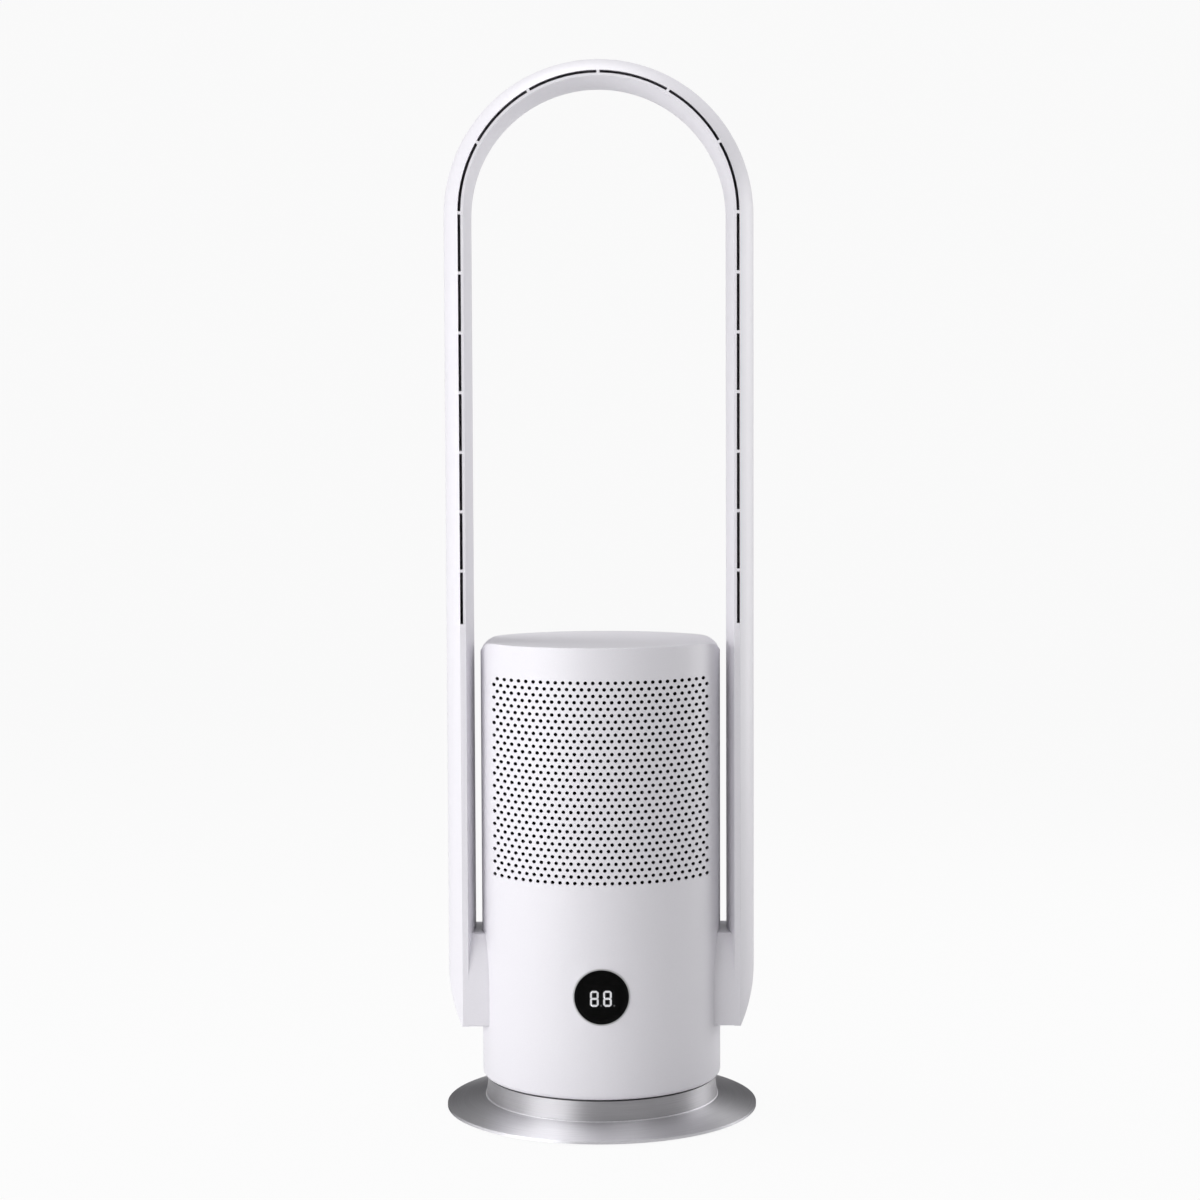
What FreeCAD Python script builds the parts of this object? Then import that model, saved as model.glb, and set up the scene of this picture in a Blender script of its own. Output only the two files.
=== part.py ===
import FreeCAD, Part
import math
import os
import re

import Sketcher

# Air purifier fan: a round filter tower that swivels on a steel base and feeds a tall hollow hoop.
# The front is -Y, +X is to the right, +Z is up, and the origin is on the floor under the tower's axis.

SIZES = {
    # Tower casing
    "body_radius": 110.0,
    "body_wall": 2.4,
    "body_bottom": 31.0,
    "body_top": 433.0,
    "body_edge_radius": 5.0,
    "crown_radius": 14.0,
    "crown_overhang": 0.6,
    "flange_width": 3.6,
    "casing_clearance": 0.4,
    "cut_margin": 5.0,
    # Air intake holes in the casing
    "grille_rise": 36.0,
    "grille_top_margin": 30.5,
    "grille_side_margin": 14.0,
    "hole_pitch": 13.2,
    "hole_side": 4.8,
    # Base
    "base_radius": 143.0,
    "rim_gap": 1.6,
    "rim_height": 2.4,
    "skin_wall": 1.6,
    "foot_radius": 9.0,
    "foot_height": 2.4,
    "foot_count": 6,
    "foot_inset": 14.0,
    "tray_inset": 11.0,
    "tray_wall": 1.6,
    "ballast_inset": 1.0,
    "ballast_height": 6.0,
    "collar_setback": 3.0,
    "collar_taper": 2.0,
    "collar_height": 17.8,
    "collar_wall": 2.0,
    "collar_flange": 9.0,
    "collar_lip": 2.0,
    "plate_clearance": 0.4,
    "plate_step": 1.0,
    # Swivel
    "wear_ring_setback": 11.0,
    "wear_ring_width": 10.0,
    "hub_flange_radius": 46.0,
    "hub_flange_height": 3.0,
    "hub_shoulder_radius": 26.0,
    "hub_shoulder_height": 3.0,
    "hub_radius": 20.0,
    "hub_bore": 9.0,
    "hub_rise": 0.4,
    "running_clearance": 0.1,
    "retainer_overlap": 6.0,
    "retainer_wall": 2.0,
    "gear_module": 1.25,
    "sun_teeth": 48,
    "pinion_teeth": 18,
    "gear_height": 7.0,
    "gear_backlash": 0.3,
    "pressure_angle": 20.0,
    "dedendum_ratio": 1.25,
    "swivel_shaft_radius": 2.5,
    "swivel_boss_radius": 4.5,
    "swivel_boss_drop": 3.0,
    "swivel_can_radius": 14.0,
    "swivel_can_height": 19.0,
    "swivel_can_offset": 8.0,
    "swivel_ear_reach": 21.0,
    "swivel_ear_width": 7.0,
    "swivel_ear_wall": 1.0,
    "swivel_shaft_depth": 10.0,
    "turntable_wall": 4.0,
    # Power inlet in the back of the collar
    "inlet_width": 14.0,
    "inlet_height": 12.0,
    "inlet_depth": 12.0,
    "inlet_bore": 3.2,
    "inlet_bore_depth": 9.0,
    "inlet_pin": 1.0,
    "inlet_pin_setback": 1.5,
    "inlet_setback": 0.6,
    "inlet_clearance": 0.2,
    # Screws
    "screw_head_radius": 3.2,
    "screw_head_height": 1.6,
    "screw_radius": 1.6,
    "screw_length": 6.0,
    "screw_clearance": 0.1,
    "base_screw_count": 6,
    "base_screw_inset": 16.0,
    "screw_turn": 30.0,
    "retainer_screw_count": 3,
    # Circuit boards
    "board_wall": 1.6,
    "board_length": 96.0,
    "board_width": 50.0,
    "board_front": 78.0,
    "standoff_height": 7.0,
    "standoff_radius": 3.5,
    "standoff_inset": 5.0,
    "capacitor_radius": 7.0,
    "capacitor_height": 18.0,
    "capacitor_spacing": 18.0,
    "capacitor_count": 2,
    "transformer_length": 24.0,
    "transformer_width": 22.0,
    "transformer_height": 20.0,
    "heat_sink_wall": 3.0,
    "heat_sink_height": 22.0,
    "component_inset": 6.0,
    # Display
    "display_height": 124.0,
    "lens_radius": 24.2,
    "lens_wall": 1.9,
    "lens_proud": 0.1,
    "bezel_wall": 1.1,
    "bezel_proud": 0.3,
    "bezel_depth": 14.0,
    "bezel_ledge": 2.2,
    "bezel_ledge_depth": 5.0,
    "bezel_ledge_wall": 2.0,
    "display_clearance": 0.1,
    "module_width": 28.0,
    "module_height": 20.0,
    "module_depth": 7.0,
    "digit_width": 8.0,
    "digit_height": 14.4,
    "digit_pitch": 11.6,
    "segment_width": 1.7,
    "segment_gap": 0.3,
    "segment_wall": 0.6,
    # Blower
    "housing_gap": 22.0,
    "housing_wall": 2.4,
    "housing_drop": 4.0,
    "housing_rise": 4.0,
    "leg_post_radius": 6.0,
    "leg_post_inset": 10.0,
    "leg_post_count": 4,
    "leg_post_turn": 45.0,
    "outlet_length": 3.0,
    "gasket_wall": 2.0,
    "motor_radius": 32.0,
    "motor_height": 16.0,
    "bearing_radius": 11.0,
    "bearing_width": 6.0,
    "bearing_shoulder": 1.5,
    "seat_clearance": 0.05,
    "motor_shaft_radius": 4.0,
    "motor_shaft_gap": 0.2,
    "shaft_tail": 3.5,
    "impeller_gap": 2.6,
    "volute_gap": 15.0,
    "impeller_wall": 2.4,
    "impeller_boss_radius": 10.0,
    "impeller_boss_rise": 14.6,
    "impeller_boss_drop": 1.6,
    "blade_count": 11,
    "blade_lead": 12.4,
    "blade_margin": 1.5,
    "blade_sweep": 52.0,
    "blade_wall": 2.0,
    "blade_curve": 46.0,
    "blade_sink": 0.5,
    "shroud_gap": 16.2,
    "shroud_width": 22.6,
    "eye_height": 14.0,
    "nut_width": 13.0,
    "nut_height": 6.5,
    # Deck under the filter, with its air mouth
    "deck_rise": 19.0,
    "deck_wall": 2.4,
    "mouth_gap": 2.0,
    "mouth_flare": 18.0,
    "mouth_overlap": 5.8,
    # Filter cartridge and lid
    "filter_gap": 7.6,
    "cap_wall": 4.0,
    "pleat_count": 60,
    "pleat_margin": 2.0,
    "pleat_depth": 24.0,
    "pleat_band": 6.0,
    "carbon_wall": 2.5,
    "seal_wall": 3.0,
    "seal_margin": 6.0,
    "lid_skirt": 12.0,
    "spigot_radius": 43.0,
    "spigot_wall": 3.0,
    "spigot_height": 18.6,
    # Hoop and the elbows that feed it
    "hoop_gap": 6.0,
    "hoop_width": 25.0,
    "hoop_half_depth": 40.0,
    "hoop_wall": 2.2,
    "hoop_belly": 2.0,
    "hoop_back_inset": 5.0,
    "hoop_back_width": 10.0,
    "arch_height": 819.0,
    "slot_inset": 9.0,
    "slot_width": 2.7,
    "slot_depth": 4.5,
    "slot_bottom": 450.0,
    "lip_width": 2.4,
    "bridge_width": 2.7,
    "bridge_sink": 0.5,
    "bridge_pitch": 53.5,
    "bridge_count": 6,
    "arch_slots": 6,
    "elbow_neck": 6.0,
    "elbow_curve": 123.0,
    "elbow_curve_height": 57.0,
    "arm_half_depth": 40.0,
    "arm_bottom": 82.0,
    "arm_top": 166.0,
    "arm_corner": 2.0,
    "arm_shoulder": 10.0,
    "arm_shoulder_height": 46.0,
    "arm_edge": 2.5,
    "arm_clearance": 0.3,
    "arm_root": 7.0,
}

os.makedirs("parts", exist_ok=True)
doc = FreeCAD.newDocument("air_purifier_fan")
sheet = doc.addObject("Spreadsheet::Sheet", "sizes")
for row, (alias, value) in enumerate(SIZES.items(), start=1):
    sheet.set(f"A{row}", alias)
    sheet.set(f"B{row}", str(value))
    sheet.setAlias(f"B{row}", alias)
doc.recompute()

nodes = {}


# Ties between the sheet and the model


def tie(text):
    """Turn sheet names in an expression into references to the sheet."""
    return re.sub(r"[a-z_]\w*", lambda word: f"sizes.{word[0]}" if word[0] in SIZES else word[0], text)


def number(text):
    return float(sheet.evalExpression(text))


def count(text):
    return int(round(number(text)))


def bind(item, **texts):
    for name, text in texts.items():
        item.setExpression(name, tie(text))


def move(item, x="0", y="0", z="0"):
    for axis, text in zip("xyz", (x, y, z)):
        item.setExpression(f"Placement.Base.{axis}", tie(text))


def keep(node, item):
    """Name a finished sub-part."""
    item.Label = node
    nodes[node] = item


# Solids and booleans


def box(name, length, width, height, x, y, z):
    item = doc.addObject("Part::Box", name)
    bind(item, Length=length, Width=width, Height=height)
    move(item, x, y, z)
    return item


def rod(name, radius, height, x="0", y="0", z="0"):
    item = doc.addObject("Part::Cylinder", name)
    bind(item, Radius=radius, Height=height)
    move(item, x, y, z)
    return item


def rod_to_back(name, radius, length, x, y, z):
    """Round bar that runs along +Y from its start point."""
    item = rod(name, radius, length)
    item.Placement.Rotation = FreeCAD.Rotation(FreeCAD.Vector(1, 0, 0), -90)
    move(item, x, y, z)
    return item


def tube(name, outer, inner, height, z="0"):
    return cut(name, rod(f"{name}_outside", outer, height, z=z), rod(f"{name}_bore", inner, height, z=z))


def cut(name, base, *tools):
    item = doc.addObject("Part::Cut", name)
    item.Base = base
    item.Tool = tools[0] if len(tools) == 1 else group(f"{name}_tools", tools)
    return item


def fuse(name, *items):
    item = doc.addObject("Part::MultiFuse", name)
    item.Shapes = list(items)
    return item


def common(name, first, second):
    item = doc.addObject("Part::MultiCommon", name)
    item.Shapes = [first, second]
    return item


def group(name, items):
    item = doc.addObject("Part::Compound", name)
    item.Links = list(items)
    return item


def shaped(name, shape):
    item = doc.addObject("Part::Feature", name)
    item.Shape = shape
    return item


# Sketched solids


def arc_between(start, stop, radius, side):
    """Circle arc of under half a turn; side is 1 for a left turn and -1 for a right turn."""
    run = stop - start
    left = FreeCAD.Vector(-run.y, run.x, 0).normalize()
    middle = (start + stop) * 0.5
    centre = middle + left * side * math.sqrt(max(radius**2 - (run.Length / 2) ** 2, 0))
    first, last = (start, stop) if side > 0 else (stop, start)
    turn = [math.atan2(point.y - centre.y, point.x - centre.x) for point in (first, last)]
    if turn[1] < turn[0]:
        turn[1] += 2 * math.pi
    return Part.ArcOfCircle(Part.Circle(centre, FreeCAD.Vector(0, 0, 1), radius), *turn)


def outline(body, name, plane, corners, offset="0"):
    """Closed outline on an origin plane: each corner is (across, up), or (across, up, radius, side)
    where an arc leads to the next corner."""
    sketch = body.newObject("Sketcher::SketchObject", name)
    support = next(item for item in body.Origin.OriginFeatures if item.Role == plane)
    sketch.AttachmentSupport = (support, [""])
    sketch.MapMode = "FlatFace"
    sketch.setExpression("AttachmentOffset.Base.z", tie(offset))
    points = [FreeCAD.Vector(number(corner[0]), number(corner[1]), 0) for corner in corners]
    ends = []
    for index, corner in enumerate(corners):
        start, stop = points[index], points[(index + 1) % len(points)]
        if len(corner) == 2:
            sketch.addGeometry(Part.LineSegment(start, stop))
            ends.append((1, 2))
        else:
            sketch.addGeometry(arc_between(start, stop, number(corner[2]), corner[3]))
            ends.append((1, 2) if corner[3] > 0 else (2, 1))
    for index in range(len(corners)):
        after = (index + 1) % len(corners)
        sketch.addConstraint(Sketcher.Constraint("Coincident", index, ends[index][1], after, ends[after][0]))
    for index, corner in enumerate(corners):
        for kind, text in zip(("DistanceX", "DistanceY"), corner):
            distance = Sketcher.Constraint(kind, -1, 1, index, ends[index][0], number(text))
            sketch.setExpression(f"Constraints[{sketch.addConstraint(distance)}]", tie(text))
        if len(corner) == 4:
            radius = Sketcher.Constraint("Radius", index, number(corner[2]))
            sketch.setExpression(f"Constraints[{sketch.addConstraint(radius)}]", tie(corner[2]))
    return sketch


def new_body(name):
    return doc.addObject("PartDesign::Body", name)


def pad(body, sketch, length, backward=False):
    feature = body.newObject("PartDesign::Pad", f"{sketch.Name}_pad")
    feature.Profile = sketch
    feature.Reversed = backward
    bind(feature, Length=length)
    return feature


def turn(body, sketch, angle=360, backward=False):
    feature = body.newObject("PartDesign::Revolution", f"{sketch.Name}_turn")
    feature.Profile = sketch
    feature.ReferenceAxis = (sketch, ["V_Axis"])
    feature.Angle = angle
    feature.Reversed = backward
    return feature


def turned(name, corners):
    """Body of revolution about the tower's axis from (radius, height) corners."""
    body = new_body(name)
    turn(body, outline(body, f"{name}_section", "XZ_Plane", corners))
    return body


def swell(across, along):
    """Radius of the arc that covers these two distances and ends parallel to the second."""
    return f"((({across})^2 + ({along})^2)/(2*({across})))"


def bar(name, margin, start, length):
    """Bar along +X with the arms' section, which leans in towards the top; margin widens it all round."""
    half = f"(arm_half_depth + {margin})"
    bottom = f"(arm_bottom - {margin})"
    top = f"(arm_top + {margin})"
    narrow = f"({half} - arm_shoulder)"
    lean = swell("arm_shoulder", "arm_shoulder_height - arm_edge")
    corners = [
        (f"-{half} + arm_corner", bottom),
        (f"{half} - arm_corner", bottom, "arm_corner", 1),
        (half, f"{bottom} + arm_corner"),
        (half, f"{top} - arm_shoulder_height", lean, 1),
        (narrow, f"{top} - arm_edge", "arm_edge", 1),
        (f"{narrow} - arm_edge", top),
        (f"-{narrow} + arm_edge", top, "arm_edge", 1),
        (f"-{narrow}", f"{top} - arm_edge", lean, 1),
        (f"-{half}", f"{top} - arm_shoulder_height"),
        (f"-{half}", f"{bottom} + arm_corner", "arm_corner", 1),
    ]
    body = new_body(name)
    pad(body, outline(body, f"{name}_section", "YZ_Plane", corners, start), length)
    return body


def around(circle, index, total, start="0"):
    angle = f"({start} + 360*{index}/{total})"
    return f"{circle}*cos({angle})", f"{circle}*sin({angle})"


def screws(node, total, circle, seat, head_up):
    """Ring of screws on a flat seat, with the matching holes."""
    pieces = []
    holes = []
    for index in range(count(total)):
        x, y = around(circle, index, total, "screw_turn")
        head_z = seat if head_up else f"{seat} - screw_head_height"
        shank_z = f"{seat} - screw_length" if head_up else seat
        head = rod(f"{node}_head_{index}", "screw_head_radius", "screw_head_height", x, y, head_z)
        shank = rod(f"{node}_shank_{index}", "screw_radius", "screw_length", x, y, shank_z)
        pieces.append(fuse(f"{node}_{index}", head, shank))
        hole_z = f"{shank_z} - screw_clearance" if head_up else shank_z
        holes.append(rod(
            f"{node}_hole_{index}", "screw_radius + screw_clearance", "screw_length + screw_clearance",
            x, y, hole_z))
    keep(node, group(f"{node}_set", pieces))
    return holes


# Levels and radii that several pieces share

tray_top = "(foot_height + tray_wall)"
ballast_top = f"({tray_top} + ballast_height)"
plate_top = f"({ballast_top} + skin_wall)"
collar_top = f"({plate_top} + collar_height)"
turntable_top = "(body_bottom + turntable_wall)"
hub_top = f"({turntable_top} + hub_rise)"
retainer_top = f"({hub_top} + retainer_wall)"
gear_bottom = f"({ballast_top} + hub_flange_height + hub_shoulder_height)"
gear_distance = "(gear_module*(sun_teeth + pinion_teeth)/2)"
collar_foot = "(body_radius - collar_setback)"
casing_bore = "(body_radius - body_wall)"
insert_radius = f"({casing_bore} - casing_clearance)"
flange_radius = f"({casing_bore} - flange_width)"
ballast_radius = f"({collar_foot} - ballast_inset)"
housing_radius = "(body_radius - housing_gap)"
impeller_radius = f"({housing_radius} - volute_gap)"
eye_radius = f"({impeller_radius} - shroud_width)"
housing_floor = "(arm_bottom - housing_drop)"
housing_top = "(arm_top + housing_rise)"
deck_top = f"({housing_top} + deck_rise)"
motor_bottom = f"({housing_floor} + housing_wall)"
motor_top = f"({motor_bottom} + motor_height)"
elbow_top = "(arm_top + elbow_neck)"


# Base: rubber feet, tray, ballast and the spun steel plate with its collar

feet = []
for index in range(count("foot_count")):
    x, y = around("(base_radius - tray_inset - foot_inset)", index, "foot_count")
    feet.append(rod(f"foot_{index}", "foot_radius", "foot_height", x, y))
keep("rubber_feet", group("feet", feet))

base_screw_holes = screws(
    "base_screws", "base_screw_count", f"({ballast_radius} - base_screw_inset)", "foot_height", False)
tray = rod("tray_disc", "base_radius - tray_inset", "tray_wall", z="foot_height")
keep("base_tray", cut("tray", tray, *base_screw_holes))
ballast = rod("ballast_disc", ballast_radius, "ballast_height", z=tray_top)
keep("ballast_plate", cut("ballast", ballast, *base_screw_holes))

rim_top = "(rim_gap + rim_height)"
keep("base_plate", turned("plate", [
    ("hub_flange_radius + plate_clearance", ballast_top),
    (collar_foot, ballast_top),
    ("base_radius - skin_wall", f"{rim_top} - skin_wall"),
    ("base_radius - skin_wall", "rim_gap"),
    ("base_radius", "rim_gap"),
    ("base_radius", rim_top),
    (f"{collar_foot} + plate_step", plate_top),
    ("hub_flange_radius + plate_clearance", plate_top),
]))

collar_top_radius = f"({collar_foot} - collar_taper)"
wear_ring_outer = f"({collar_top_radius} - wear_ring_setback)"
wear_ring_inner = f"({wear_ring_outer} - wear_ring_width)"
collar_floor = f"({plate_top} + collar_wall)"
collar_ring = turned("collar_ring", [
    (f"{collar_foot} - collar_flange", plate_top),
    (collar_foot, plate_top),
    (collar_top_radius, collar_top),
    (f"{wear_ring_inner} - collar_lip", collar_top),
    (f"{wear_ring_inner} - collar_lip", f"{collar_top} - collar_wall"),
    (f"{collar_top_radius} - collar_wall", f"{collar_top} - collar_wall"),
    (f"{collar_foot} - collar_wall", collar_floor),
    (f"{collar_foot} - collar_flange", collar_floor),
])

# Power inlet: a small round socket let into the back of the collar

inlet_face = f"({collar_foot} - inlet_setback)"
inlet_axis = f"({collar_floor} + inlet_height/2)"
inlet_window = box(
    "inlet_window", "inlet_width + 2*inlet_clearance", "inlet_depth + cut_margin",
    "inlet_height + inlet_clearance", "-inlet_width/2 - inlet_clearance",
    f"{inlet_face} - inlet_depth", collar_floor)
keep("base_collar", cut("collar", collar_ring, inlet_window))
inlet_block = box(
    "inlet_block", "inlet_width", "inlet_depth", "inlet_height",
    "-inlet_width/2", f"{inlet_face} - inlet_depth", collar_floor)
socket_start = f"({inlet_face} - inlet_bore_depth)"
socket = rod_to_back("inlet_socket", "inlet_bore", "inlet_bore_depth", "0", socket_start, inlet_axis)
pin = rod_to_back(
    "inlet_contact", "inlet_pin", "inlet_bore_depth - inlet_pin_setback", "0", socket_start, inlet_axis)
keep("power_inlet", fuse("inlet", cut("inlet_shell", inlet_block, socket), pin))

# Swivel: fixed hub and sun gear in the base, wear ring under the turntable, retainer above it


def gear_shape(teeth, bore):
    """Spur gear with involute flanks, one tooth centred on +X."""
    module = number("gear_module")
    pressure = math.radians(number("pressure_angle"))
    pitch = module * teeth / 2
    base = pitch * math.cos(pressure)
    root = pitch - number("dedendum_ratio") * module
    tip = pitch + module
    half_tooth = (math.pi * module / 2 - number("gear_backlash")) / 2 / pitch

    def flank_angle(radius):
        roll = math.acos(min(base / radius, 1))
        return half_tooth + math.tan(pressure) - pressure - math.tan(roll) + roll

    def at(radius, angle):
        return FreeCAD.Vector(radius * math.cos(angle), radius * math.sin(angle), 0)

    start = max(base, root)
    flank_steps = 4
    steps = [start + (tip - start) * step / flank_steps for step in range(flank_steps + 1)]
    edges = []
    for index in range(teeth):
        middle = 2 * math.pi * index / teeth
        next_middle = 2 * math.pi * (index + 1) / teeth
        rising = [at(radius, middle - flank_angle(radius)) for radius in steps]
        falling = [at(radius, middle + flank_angle(radius)) for radius in reversed(steps)]
        for points in (rising, falling):
            flank = Part.BSplineCurve()
            flank.interpolate(points)
            edges.append(flank.toShape())
        edges.append(Part.Arc(rising[-1], at(tip, middle), falling[0]).toShape())
        foot = at(root, middle + flank_angle(start))
        next_foot = at(root, next_middle - flank_angle(start))
        edges.append(Part.Arc(foot, at(root, (middle + next_middle) / 2), next_foot).toShape())
        if start > root:
            edges.append(Part.makeLine(falling[-1], foot))
            edges.append(Part.makeLine(next_foot, at(start, next_middle - flank_angle(start))))
    rim = Part.Wire(Part.sortEdges(edges)[0])
    hole = Part.Wire(Part.makeCircle(bore))
    face = Part.makeFace([rim, hole], "Part::FaceMakerBullseye")
    return face.extrude(FreeCAD.Vector(0, 0, number("gear_height")))


retainer_screw_holes = screws(
    "retainer_screws", "retainer_screw_count", "(hub_bore + hub_radius)/2", retainer_top, True)
hub_post = turned("hub_post", [
    ("hub_bore", ballast_top),
    ("hub_flange_radius", ballast_top),
    ("hub_flange_radius", f"{ballast_top} + hub_flange_height"),
    ("hub_shoulder_radius", f"{ballast_top} + hub_flange_height"),
    ("hub_shoulder_radius", gear_bottom),
    ("hub_radius", gear_bottom),
    ("hub_radius", hub_top),
    ("hub_bore", hub_top),
])
keep("pivot_hub", cut("hub", hub_post, *retainer_screw_holes))
retainer_disc = tube("retainer_disc", "hub_radius + retainer_overlap", "hub_bore", "retainer_wall", hub_top)
keep("pivot_retainer", cut("retainer", retainer_disc, *retainer_screw_holes))

sun = shaped("sun", gear_shape(count("sun_teeth"), number("hub_radius + seat_clearance")))
move(sun, z=gear_bottom)
keep("sun_gear", sun)
pinion = shaped("pinion", gear_shape(count("pinion_teeth"), number("swivel_shaft_radius + seat_clearance")))
move(pinion, y=gear_distance, z=gear_bottom)
keep("swivel_pinion", pinion)
swivel_shaft_top = f"({turntable_top} + swivel_shaft_depth)"
keep("swivel_shaft", rod(
    "pinion_shaft", "swivel_shaft_radius", f"{swivel_shaft_top} - {gear_bottom}",
    "0", gear_distance, gear_bottom))

keep("wear_ring", tube(
    "thrust_ring", wear_ring_outer, wear_ring_inner, f"body_bottom - {collar_top}", collar_top))

# Turntable: the floor of the tower, with standoffs for the power board

turntable_disc = turned("turntable_disc", [
    ("hub_radius + running_clearance", "body_bottom"),
    (f"{flange_radius} - casing_clearance", "body_bottom"),
    (f"{flange_radius} - casing_clearance", "body_bottom + body_wall"),
    (insert_radius, "body_bottom + body_wall"),
    (insert_radius, turntable_top),
    ("hub_radius + running_clearance", turntable_top),
])
boss_hole = rod(
    "boss_hole", "swivel_boss_radius + screw_clearance", "turntable_wall", "0", gear_distance, "body_bottom")
standoffs = []
for side in ("-1", "1"):
    for row_y in ("-board_front + standoff_inset", "-board_front + board_width - standoff_inset"):
        standoffs.append(rod(
            f"standoff_{len(standoffs)}", "standoff_radius", "standoff_height",
            f"{side}*(board_length/2 - standoff_inset)", row_y, turntable_top))
keep("turntable", fuse("floor", cut("turntable_bored", turntable_disc, boss_hole), *standoffs))

can_y = f"({gear_distance} + swivel_can_offset)"
can = rod("swivel_can", "swivel_can_radius", "swivel_can_height", "0", can_y, turntable_top)
ears = box(
    "swivel_ears", "2*swivel_ear_reach", "swivel_ear_width", "swivel_ear_wall",
    "-swivel_ear_reach", f"{can_y} - swivel_ear_width/2", turntable_top)
boss = rod(
    "swivel_boss", "swivel_boss_radius", "swivel_boss_drop",
    "0", gear_distance, f"{turntable_top} - swivel_boss_drop")
shaft_hole = rod(
    "swivel_shaft_hole", "swivel_shaft_radius + running_clearance", "swivel_boss_drop + swivel_shaft_depth",
    "0", gear_distance, f"{turntable_top} - swivel_boss_drop")
keep("swivel_motor", cut("swivel_drive", fuse("swivel_case", can, ears, boss), shaft_hole))

board_bottom = f"({turntable_top} + standoff_height)"
board_top = f"({board_bottom} + board_wall)"
board = box(
    "power_plate", "board_length", "board_width", "board_wall",
    "-board_length/2", "-board_front", board_bottom)
components = [box(
    "transformer", "transformer_length", "transformer_width", "transformer_height",
    "-board_length/2 + component_inset + standoff_inset", "-board_front + component_inset + standoff_inset",
    board_top)]
components.append(box(
    "heat_sink", "heat_sink_wall", "board_width - 2*component_inset", "heat_sink_height",
    "board_length/2 - 3*component_inset", "-board_front + component_inset", board_top))
for index in range(count("capacitor_count")):
    components.append(rod(
        f"capacitor_{index}", "capacitor_radius", "capacitor_height",
        "component_inset", f"-board_front + component_inset + capacitor_radius + {index}*capacitor_spacing",
        board_top))
keep("power_board", fuse("power_card", board, *components))

# Tower casing: two half shells with a level top that rounds down at the left and right


def crown(name, inset):
    """Block with the casing's rounded front outline, run from back to front."""
    half = f"(body_radius + crown_overhang - {inset})"
    radius = f"(crown_radius - {inset})"
    top = f"(body_top - {inset})"
    body = new_body(name)
    corners = [
        (f"-{half}", "0"),
        (half, "0"),
        (half, f"{top} - {radius}", radius, 1),
        (f"{half} - {radius}", top),
        (f"-{half} + {radius}", top, radius, 1),
        (f"-{half}", f"{top} - {radius}"),
    ]
    section = outline(body, f"{name}_section", "XZ_Plane", corners, "-(body_radius + cut_margin)")
    pad(body, section, "2*(body_radius + cut_margin)")
    return body


def grille_holes():
    """Staggered rows of holes, all drawn straight to the front."""
    pitch = number("hole_pitch")
    side = number("hole_side")
    row_pitch = pitch * math.sqrt(3) / 2
    bottom = number(f"{deck_top} + grille_rise")
    rows = int((number("body_top - grille_top_margin") - bottom) / row_pitch) + 1
    columns = int(2 * number("body_radius - grille_side_margin") / pitch) + 1
    reach = number("body_radius + cut_margin")
    holes = []
    for row in range(rows):
        in_row = columns - row % 2
        for column in range(in_row):
            x = (column - (in_row - 1) / 2) * pitch
            corner = FreeCAD.Vector(x - side / 2, -reach, bottom + row * row_pitch - side / 2)
            holes.append(Part.makeBox(side, reach, side, corner))
    return Part.makeCompound(holes)


half_ring = new_body("half_ring")
turn(half_ring, outline(half_ring, "casing_section", "XZ_Plane", [
    (flange_radius, "body_bottom"),
    ("body_radius - body_edge_radius", "body_bottom", "body_edge_radius", 1),
    ("body_radius", "body_bottom + body_edge_radius"),
    ("body_radius", "body_top"),
    (casing_bore, "body_top"),
    (casing_bore, "body_bottom + body_wall"),
    (flange_radius, "body_bottom + body_wall"),
]), 180, True)
arm_window = bar(
    "arm_window", "arm_clearance", "-(body_radius + cut_margin)", "2*(body_radius + cut_margin)")
plain_half = cut("plain_half", common("crowned_half", half_ring, crown("casing_crown", "0")), arm_window)
half_casing = cut("half_casing", plain_half, shaped("grille", grille_holes()))

bezel_radius = "(lens_radius + display_clearance + bezel_wall)"
display_front = "(-(body_radius + cut_margin))"
display_hole = rod_to_back(
    "display_hole", f"{bezel_radius} + display_clearance", "cut_margin + bezel_depth",
    "0", display_front, "display_height")
keep("front_shell", cut("front_casing", half_casing, display_hole))
rear_casing = doc.addObject("Part::Mirroring", "rear_casing")
rear_casing.Source = half_casing
rear_casing.Normal = FreeCAD.Vector(0, 1, 0)
keep("rear_shell", rear_casing)

# Display: a black lens in a thin ring, over a two digit module on its own board

bezel_length = "cut_margin + bezel_depth"
bezel_outside = rod_to_back("bezel_outside", bezel_radius, bezel_length, "0", display_front, "display_height")
bezel_bore = rod_to_back(
    "bezel_bore", "lens_radius + display_clearance", bezel_length, "0", display_front, "display_height")
ledge_y = "-(body_radius - bezel_ledge_depth)"
ledge_outside = rod_to_back(
    "ledge_outside", bezel_radius, "bezel_ledge_wall", "0", ledge_y, "display_height")
ledge_bore = rod_to_back(
    "ledge_bore", "lens_radius - bezel_ledge", "bezel_ledge_wall", "0", ledge_y, "display_height")
bezel_tube = fuse(
    "bezel_tube", cut("bezel_ring", bezel_outside, bezel_bore), cut("bezel_step", ledge_outside, ledge_bore))
bezel_limit = rod("bezel_limit", "body_radius + bezel_proud", "body_top")
keep("display_bezel", common("bezel", bezel_tube, bezel_limit))

lens_face = "(body_radius + lens_proud)"
lens_skin = tube("lens_skin", lens_face, f"{lens_face} - lens_wall", "body_top")
lens_plug = rod_to_back("lens_plug", "lens_radius", "body_radius", "0", display_front, "display_height")
keep("display_lens", common("lens", lens_plug, lens_skin))

board_back = "(body_radius - bezel_depth)"
module_back = f"({board_back} + board_wall)"
module_face = f"({module_back} + module_depth)"
card = rod_to_back("display_card", "lens_radius", "board_wall", "0", f"-{module_back}", "display_height")
module = box(
    "display_module", "module_width", "module_depth", "module_height",
    "-module_width/2", f"-{module_face}", "display_height - module_height/2")
keep("display_board", fuse("display_unit", card, module))

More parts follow.
